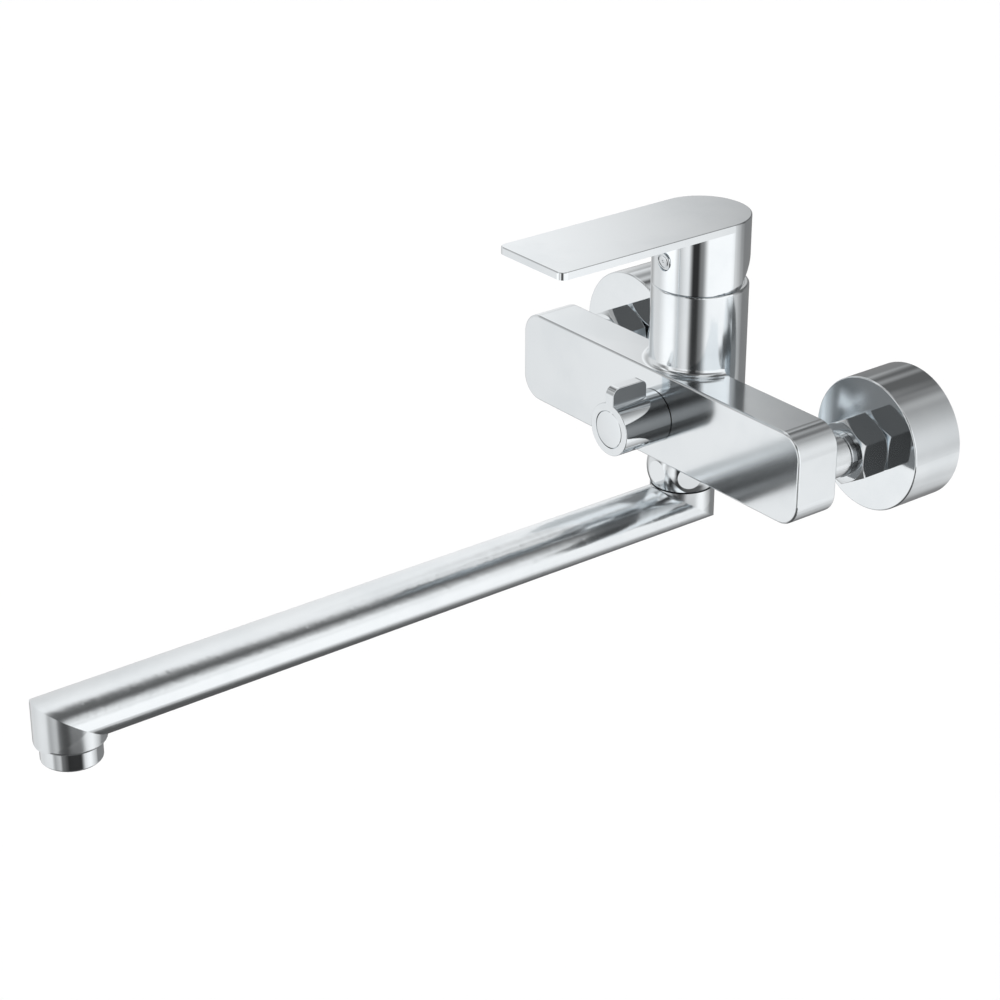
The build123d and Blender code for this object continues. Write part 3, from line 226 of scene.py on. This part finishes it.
def joined(*shapes):
    """Several closed shells as one shape."""
    whole = bmesh.new()
    for shape in shapes:
        shell = bpy.data.meshes.new("shell")
        shape.to_mesh(shell)
        shape.free()
        whole.from_mesh(shell)
        bpy.data.meshes.remove(shell)
    return whole


def piece(name, shape, finish, slot, body, *nodes, crease=32.0):
    """Makes a shape a piece that rides on a body and stands for CAD nodes. Edges that turn by
    more than the crease in degrees stay sharp."""
    mesh = bpy.data.meshes.new(name)
    shape.to_mesh(mesh)
    shape.free()
    mesh.shade_smooth()
    mesh.set_sharp_from_angle(angle=radians(crease))
    mesh.materials.append(finish)
    made = bpy.data.objects.new(name, mesh)
    bpy.context.scene.collection.objects.link(made)
    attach(made, body)
    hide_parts(*nodes)


def union_middle():
    """The offset middle of a union: two rounds joined by straight sides."""
    shape = bmesh.new()
    round_ = bmesh.ops.create_circle(shape, segments=96, radius=13.48 * MM, cap_ends=True)
    for vert in round_["verts"]:
        if vert.co.y > 0.0:
            vert.co.y += RISE * MM
    raised = bmesh.ops.extrude_face_region(shape, geom=shape.faces[:])["geom"]
    raised = [item for item in raised if isinstance(item, bmesh.types.BMVert)]
    bmesh.ops.translate(shape, verts=raised, vec=(0, 0, 9.0 * MM))
    bmesh.ops.recalc_face_normals(shape, faces=shape.faces)
    return moved(rounded(shape, sharpness=60.0, offset=0.6), 0.0, 0.0, -11.0)


union_chrome = chrome("union_chrome", rough=0.1, ripple=0.00003)
for side, x in INLETS:
    nut_end = turned([(6.5, -33.0), (9.0, -33.0), (9.5, -32.5), (9.5, -9.0), (6.5, -9.0)])
    wall_end = turned([(6.5, -4.0), (9.5, -4.0), (9.5, 15.2), (8.7, 16.0), (6.5, 16.0)])
    wall_end = joined(wall_end, thread(PIPE_THREAD, low=-2.6, high=15.9))
    shape = joined(nut_end, thread(PIPE_THREAD, low=-32.9, high=-10.5), union_middle(),
                   moved(wall_end, 0.0, RISE, 0.0))
    moved(turned_over(shape, -90.0), x, 0.0, RISE)
    piece("union_" + side, shape, union_chrome, "union_chrome", "mixer", "eccentric_union_" + side)


# ---- Rosettes ------------------------------------------------------------------------
# Two deep cups of pressed brass slide over the unions and stand on the tiles, where they
# hide the wall elbows. They are spun on a lathe, so faint rings run round their faces.

def spun_chrome(name, centre, rough):
    """Chrome over spun metal, with faint rings round an axis that runs into the wall."""
    finish = Finish(bpy.data.materials.new(name))
    where = finish.place()
    from_axis = finish.place((1.0, 0.0, 1.0), tuple(value * MM for value in centre))
    reach = finish.node("VectorMath", {"operation": "LENGTH"}, {0: from_axis}, "Value")
    rings = finish.noise(finish.node("CombineXYZ", {}, {"X": reach}), scale=900.0, detail=3.0)
    haze = finish.noise(where, scale=30.0, detail=4.0, roughness=0.6).ramp(0.42, 0.68)
    return finish.shaded(
        finish.blend(haze, PLATE, HAZED_PLATE),
        rough + rings * 0.02 + haze * 0.02,
        finish.bump(rings, 0.0000012),
        Metallic=1.0,
    )


for side, x in INLETS:
    dress(spun_chrome("rosette_chrome_" + side, centre=(x, 0.0, RISE), rough=0.045),
          "wall_rosette_" + side)


# ---- Union nuts ----------------------------------------------------------------------
# Two hexagon nuts pull the body's necks against the unions, each with a flat fibre washer
# and held on its neck by a sprung ring. They are turned from hexagon bar, bevelled at both
# ends, and their corners are softened by the polishing wheel.

def hexagonal(shape, flats, start):
    """Cuts six flats across a turned shape."""
    for turn in range(6):
        angle = radians(start + 60.0 * turn)
        outward = Vector((cos(angle), sin(angle), 0.0))
        cut = bmesh.ops.bisect_plane(
            shape, geom=shape.verts[:] + shape.edges[:] + shape.faces[:], dist=0.0001 * MM,
            plane_co=outward * flats / 2.0 * MM, plane_no=outward, clear_outer=True)
        rim = [item for item in cut["geom_cut"] if isinstance(item, bmesh.types.BMEdge)]
        bmesh.ops.contextual_create(shape, geom=rim)
    bmesh.ops.recalc_face_normals(shape, faces=shape.faces)
    return shape


nut_chrome = chrome("nut_chrome", rough=0.055, ripple=0.00003)
for side, x in INLETS:
    shape = turned([
        (8.15, -39.15), (12.35, -39.15), (14.6, -37.85), (14.6, -26.65), (12.35, -25.35),
        (10.6, -25.35), (10.6, -36.95), (8.15, -36.95),
    ], steps=144)
    shape = hexagonal(shape, flats=25.1, start=0.0)
    rounded(shape, sharpness=24.0, offset=0.14, segments=2)
    moved(turned_over(shape, -90.0), x, 0.0, RISE)
    piece("nut_" + side, shape, nut_chrome, "nut_chrome", "mixer", "union_nut_" + side, crease=9.0)


def speckled(name, pale, dark, fleck, rough, relief):
    """A matt material with flecks of a second colour and a fine relief."""
    finish = Finish(bpy.data.materials.new(name))
    where = finish.place()
    flecks = finish.noise(where, scale=fleck, detail=4.0, roughness=0.7).ramp(0.45, 0.62)
    pores = finish.noise(where, scale=4.0 * fleck)
    return finish.shaded(finish.blend(flecks, pale, dark), rough + pores * 0.12,
                         finish.bump(pores, relief), IOR=1.5)


def steel(name):
    """Drawn spring or bolt steel with fine streaks."""
    finish = Finish(bpy.data.materials.new(name))
    streaks = finish.noise(finish.place((1.0, 14.0, 1.0)), scale=500.0, detail=3.0)
    return finish.shaded(finish.blend(streaks, (0.66, 0.66, 0.67), (0.5, 0.5, 0.52)),
                         0.22 + streaks * 0.16, finish.bump(streaks, 0.000004), Metallic=1.0)


spring_steel = steel("spring_steel")
dress(speckled("washer_fibre", pale=(0.2, 0.3, 0.24), dark=(0.1, 0.17, 0.13), fleck=900.0,
               rough=0.7, relief=0.00003),
      "union_washer_left", "union_washer_right")
dress(spring_steel, "nut_retainer_left", "nut_retainer_right")


# ---- Cartridge -----------------------------------------------------------------------
# The ceramic cartridge is pressed down in the tower by a notched brass ring. Its cases are
# moulded in acetal, its two discs are lapped alumina, and the lever's square stem is brass.

def moulded(name, pale, dark, rough):
    """Moulded plastic with flow marks and the fine grain of a spark-eroded mould."""
    finish = Finish(bpy.data.materials.new(name))
    where = finish.place()
    flow = finish.noise(finish.place((1.0, 1.0, 0.25)), scale=90.0, detail=3.0).ramp(0.35, 0.7)
    grain = finish.noise(where, scale=2600.0)
    return finish.shaded(finish.blend(flow, pale, dark), rough + grain * 0.1,
                         finish.bump(grain, 0.00001), IOR=1.48)


def brass(name, across, bright=(0.80, 0.63, 0.35), dull=(0.66, 0.49, 0.26)):
    """Turned brass with tool rings across its axis and a slight tarnish."""
    finish = Finish(bpy.data.materials.new(name))
    rings = finish.noise(finish.place(across), scale=1.0, detail=3.0)
    tarnish = finish.noise(finish.place(), scale=70.0, detail=4.0, roughness=0.6).ramp(0.4, 0.7)
    return finish.shaded(finish.blend(tarnish, bright, dull),
                         0.2 + tarnish * 0.12 + rings * 0.08, finish.bump(rings, 0.000012),
                         Metallic=1.0)


seal_rubber = speckled("seal_rubber", pale=(0.03, 0.03, 0.03), dark=(0.05, 0.05, 0.052),
                       fleck=700.0, rough=0.5, relief=0.00001)
disc_ceramic = speckled("disc_ceramic", pale=(0.9, 0.89, 0.85), dark=(0.84, 0.83, 0.79),
                        fleck=1500.0, rough=0.12, relief=0.000001)
cartridge_plastic = moulded("cartridge_plastic", pale=(0.86, 0.86, 0.84), dark=(0.8, 0.8, 0.78),
                            rough=0.42)
carrier_plastic = moulded("carrier_plastic", pale=(0.25, 0.27, 0.3), dark=(0.21, 0.23, 0.26),
                          rough=0.4)
dress(cartridge_plastic, "cartridge_base", "cartridge_housing")
dress(carrier_plastic, "cartridge_disc_carrier", "cartridge_rotor")
dress(seal_rubber, "cartridge_base_seals")
dress(disc_ceramic, "cartridge_fixed_disc", "cartridge_moving_disc")
dress(spring_steel, "cartridge_pivot_pin")
dress(brass("stem_brass", across=(0.0, 0.0, 2500.0)), "cartridge_stem")
dress(brass("ring_brass", across=(0.0, 0.0, 2000.0)), "cartridge_ring")
dress(chrome("shroud_chrome", rough=0.05, ripple=0.00002), "cartridge_shroud")


# ---- Lever ---------------------------------------------------------------------------
# Lever and cap are one zinc casting, ground flat on top with its upper edge just broken,
# then chromed. A set screw holds it on the stem, under a small chromed push-in plug with a
# ring and a dimple.

LEVER_PIVOT = Vector((0.0, -51.4, 50.0 + RISE))
STEM_LEAN = 11.0  # degrees that the stem and the cap's holes lean forward

dress(chrome("handle_chrome", rough=0.04, ripple=0.000015, grain=(1.0, 0.35, 1.0)),
      "handle_lever")
dress(spring_steel, "handle_set_screw")
shape = turned([
    (0.0, -2.6), (2.8, -2.6), (2.8, 0.0), (4.0, 0.0), (4.0, 0.7), (3.7, 1.0), (3.05, 1.0),
    (2.85, 0.62), (2.6, 0.62), (2.4, 0.92), (1.4, 0.98), (0.62, 1.0), (0.5, 0.66), (0.0, 0.6),
], steps=72)
rounded(shape, sharpness=40.0, offset=0.06, segments=2)
moved(turned_over(shape, 90.0), 0.0, -15.892, 21.3)
lean = Matrix.Translation(LEVER_PIVOT * MM) @ Matrix.Rotation(radians(STEM_LEAN), 4, "X")
bmesh.ops.transform(shape, matrix=lean, verts=shape.verts)
piece("plug", shape, chrome("plug_chrome", rough=0.05, ripple=0.00001), "plug_chrome", "lever",
      "handle_plug")


# ---- Diverter ------------------------------------------------------------------------
# The knob turns a small brass headwork with two ceramic discs that sends the water to the
# spout or the hand shower. The knob is a zinc casting with a flat tab, and a pressed disc
# covers the screw in its face.

valve_brass = brass("valve_brass", across=(0.0, 2500.0, 0.0))
dress(valve_brass, "diverter_body", "diverter_spindle")
dress(seal_rubber, "diverter_spindle_rings", "diverter_end_seal")
dress(disc_ceramic, "diverter_moving_disc", "diverter_fixed_disc")
dress(chrome("knob_chrome", rough=0.06, ripple=0.000015, grain=(1.0, 0.3, 1.0)),
      "diverter_knob")
dress(spring_steel, "diverter_knob_screw")
shape = turned([(0.0, -1.5), (8.0, -1.5), (8.1, -1.4), (8.1, -0.3), (7.8, -0.04), (7.2, 0.0),
                (0.0, 0.0)], steps=120)
moved(turned_over(shape, 90.0), 0.0, -99.35, RISE)
piece("knob_disc", shape, spun_chrome("knob_disc_chrome", centre=(0.0, 0.0, RISE), rough=0.05),
      "knob_disc_chrome", "diverter", "diverter_knob_disc")


# ---- Spout joint ---------------------------------------------------------------------
# The spout hangs on a brass tail with two O-rings, coloured dark grey as painted shade for the
# gap between the nut and the spout root. A domed chrome nut with six round flats screws up under
# the slab and carries the tail's collar between two slip rings of acetal.

DOME_RADIUS = 15.5
DOME_MIDDLE = -27.525

dome = [(DOME_RADIUS * cos(radians(angle)), DOME_MIDDLE + DOME_RADIUS * sin(radians(angle)))
        for angle in range(-28, 29, 2)]
shape = turned([(8.15, -34.9), *dome, (12.0, -20.15), (12.0, -31.7), (8.15, -31.7)], steps=144)
shape = hexagonal(shape, flats=29.2, start=30.0)
rounded(shape, sharpness=14.0, offset=0.3)
moved(shape, 0.0, -57.44, RISE)
piece("swivel_nut", shape, chrome("swivel_nut_chrome", rough=0.05, ripple=0.00002),
      "nut_chrome", "mixer", "spout_swivel_nut", crease=4.0)
dress(moulded("slip_plastic", pale=(0.92, 0.92, 0.9), dark=(0.86, 0.86, 0.84), rough=0.45),
      "spout_slip_rings")
# The tail's dark grey is painted shade that stands in for the shadow in the gap at the seam.
dress(brass("tail_painted_shade", across=(0.0, 0.0, 2500.0), bright=(0.34, 0.34, 0.33),
            dull=(0.24, 0.24, 0.23)),
      "spout_tail")
dress(seal_rubber, "spout_o_rings")


# ---- Spout ---------------------------------------------------------------------------
# A brass tube drawn oval, closed over the root and the outlet, ground and polished along
# its length and chromed, so its ripple is drawn out along the tube.

dress(chrome("spout_chrome", rough=0.18, ripple=0.000008, grain=(1.0, 0.08, 1.0)),
      "spout_tube")


# ---- Aerator -------------------------------------------------------------------------
# A chromed brass cup screws into the outlet against a rubber washer and holds a moulded
# insert whose honeycomb mixes air into the stream.

dress(chrome("aerator_chrome", rough=0.06, ripple=0.00001), "aerator_housing")
dress(moulded("insert_plastic", pale=(0.83, 0.84, 0.85), dark=(0.77, 0.78, 0.8), rough=0.4),
      "aerator_insert")
dress(seal_rubber, "aerator_washer")


# ---- Hose nipple ---------------------------------------------------------------------
# The hand shower's hose screws onto a chromed brass nipple low on the back of the tower,
# with a moulded check valve pressed into its mouth.

shape = turned([(6.0, -1.2), (8.9, -1.2), (8.9, 5.2), (11.5, 5.2), (11.5, 7.7), (9.5, 7.7),
                (9.5, 18.0), (8.8, 18.7), (7.1, 18.7), (7.1, 8.7), (6.0, 8.7)])
rounded(shape, sharpness=60.0, offset=0.3, segments=2)
shape = joined(shape, thread(PIPE_THREAD, low=8.3, high=18.6))
moved(turned_over(shape, -135.0), 0.0, -30.95, -14.7 + RISE)
piece("hose_nipple", shape, chrome("nipple_chrome", rough=0.09, ripple=0.00002),
      "nipple_chrome", "mixer", "shower_nipple")
dress(moulded("valve_plastic", pale=(0.75, 0.76, 0.78), dark=(0.69, 0.7, 0.72), rough=0.42),
      "shower_check_valve")


# ---- Floor, light and camera ---------------------------------------------------------
# The mixer is shown alone in a white tent, over a pale floor. Soft boxes stand left, right
# and behind, black flags beside the lens draw the dark lines, and the corners fall grey.

FLOOR_HEIGHT = -1.6  # metres: low enough for a look up at the aerator
floor_shape = bmesh.new()
bmesh.ops.create_grid(floor_shape, x_segments=1, y_segments=1, size=20.0,
                      matrix=Matrix.Translation((0.0, 0.0, FLOOR_HEIGHT)))
floor_mesh = bpy.data.meshes.new("floor")
floor_shape.to_mesh(floor_mesh)
floor_shape.free()
paper = Finish(bpy.data.materials.new("floor_paper"))
grain = paper.noise(paper.place(), scale=30.0)
floor_mesh.materials.append(paper.shaded(
    paper.blend(grain, (0.955, 0.955, 0.955), (0.965, 0.965, 0.965)), 0.9 + grain * 0.05,
    paper.bump(grain, 0.0001), Specular_IOR_Level=0.0))
floor = bpy.data.objects.new("floor", floor_mesh)
floor.visible_glossy = False
bpy.context.scene.collection.objects.link(floor)

LENS_SIDE = (0.7919, -0.6106, 0.0)
RIGHT_SIDE = (0.6106, 0.7919, 0.0)
studio = Finish(bpy.data.worlds.new("studio"))
look = studio.node("TexCoord", {}, {}, "Generated")
towards = studio.node("VectorMath", {"operation": "DOT_PRODUCT"}, {0: look, 1: LENS_SIDE}, "Value")
across = studio.node("VectorMath", {"operation": "DOT_PRODUCT"}, {0: look, 1: RIGHT_SIDE}, "Value")
upward = studio.node("SeparateXYZ", {}, {"Vector": look}, "Z")
turn = studio.node("Math", {"operation": "ARCTAN2"}, {0: across, 1: towards}) * (180.0 / pi)
rise = studio.node("Math", {"operation": "ARCSINE"}, {0: upward}) * (180.0 / pi)


def card(light, middle, half, soft, centre, half_height, soft_height, level):
    """Sets a soft card of one brightness into the light, by its degrees round and up."""
    aside = studio.node("Math", {"operation": "PINGPONG"}, {0: turn - middle, 1: 180.0})
    above = studio.node("Math", {"operation": "ABSOLUTE"}, {0: rise - centre})
    cover = (aside.ramp(half + soft, half - soft)
             * above.ramp(half_height + soft_height, half_height - soft_height))
    return light + (level - light) * cover


# Degrees round from the lens side (middle, half width, soft edge), degrees up from level (the
# same three) and brightness. A later card stands in front of an earlier one.
cards = {
    "box on the left": (-88.0, 28.5, 9.0, 13.0, 48.5, 16.0, 1.15),
    "box low beside the lens": (-33.0, 22.5, 23.0, -8.5, 23.5, 16.0, 0.96),
    "box on the right": (46.0, 38.5, 8.5, -0.5, 30.0, 7.0, 1.07),
    "box far on the right": (79.5, 25.0, 34.0, 0.5, 46.0, 7.0, 1.08),
    "grey strip far on the right": (92.5, 11.5, 11.5, 35.5, 58.0, 12.0, 0.36),
    "box at the back": (169.0, 33.0, 23.0, 19.5, 42.0, 9.0, 0.97),
    "grey corner at the back left": (-107.0, 32.5, 12.0, 59.5, 69.5, 11.5, 0.22),
    "glow high on the right": (78.5, 4.5, 16.0, 47.0, 13.5, 16.0, 1.25),
    "flag at the back right": (136.5, 38.0, 6.0, 8.5, 28.5, 9.5, 0.13),
    "grey box at the back left": (-124.0, 25.5, 16.5, -16.5, 56.5, 6.5, 0.75),
    "shade overhead": (0.0, 190.0, 1.0, 126.5, 65.0, 5.0, 0.1),
    "shade underneath": (0.0, 190.0, 1.0, -88.0, 20.0, 12.5, 0.09),
    "flag beside the lens": (-15.0, 11.0, 6.5, 7.5, 36.5, 6.0, 0.03),
    "flag under the lens": (20.5, 30.5, 9.5, -31.5, 4.5, 4.0, 0.03),
    "glow high on the left": (-50.0, 22.0, 7.0, 30.0, 9.0, 6.0, 0.95),
    "flag high on the left": (-55.0, 17.0, 6.5, 52.0, 11.0, 6.0, 0.1),
    "flag low beside the lens": (-17.5, 11.5, 5.0, -50.5, 22.5, 12.5, 0.05),
    "small box on the left": (-95.0, 8.5, 4.0, 38.5, 9.5, 4.0, 1.02),
    "small flag at the back left": (-118.0, 14.0, 4.0, 33.5, 3.5, 5.5, 0.14),
    "small flag at the back right": (143.5, 19.0, 5.0, 40.5, 8.5, 4.0, 0.12),
    "grey flag low at the back right": (146.0, 33.5, 4.0, -14.5, 31.0, 4.0, 0.23),
    "glow low on the right": (116.0, 27.0, 17.0, -46.5, 2.5, 14.0, 1.0),
    "glow overhead at the back left": (-132.0, 36.0, 6.0, 68.0, 14.0, 5.0, 0.75),
    "glow overhead at the front right": (32.0, 28.0, 6.0, 66.0, 14.0, 6.0, 0.75),
    "roof": (0.0, 190.0, 1.0, 90.0, 13.0, 4.0, 0.75),
}
light = 0.105  # the grey of the corners, where no card stands
for place in cards.values():
    light = card(light, *place)

# The lens sees the tent white, and the floor is lit so that it comes out as white.
to_lens = studio.node("LightPath", {}, {}, "Is Camera Ray")
soft = studio.node("LightPath", {}, {}, "Is Diffuse Ray")
light = light + (1.0 - light) * to_lens
light = light + (1.12 - light) * soft
glow = studio.node("Background", {}, {"Color": (1.0, 1.0, 1.0, 1.0), "Strength": light})
studio.node("OutputWorld", {}, {"Surface": glow})

scene = bpy.context.scene
scene.world = studio.holder
scene.view_settings.view_transform = "Standard"

lens = bpy.data.cameras.new("camera")
lens.lens = 94.32
lens.sensor_width = 36.0
LINE_OF_SIGHT = Vector((-0.7124, 0.5493, -0.4368))
camera = bpy.data.objects.new("camera", lens)
camera.location = (0.7547, -0.7380, 0.4547)
camera.rotation_mode = "QUATERNION"
camera.rotation_quaternion = LINE_OF_SIGHT.to_track_quat("-Z", "Y")
scene.collection.objects.link(camera)
scene.camera = camera
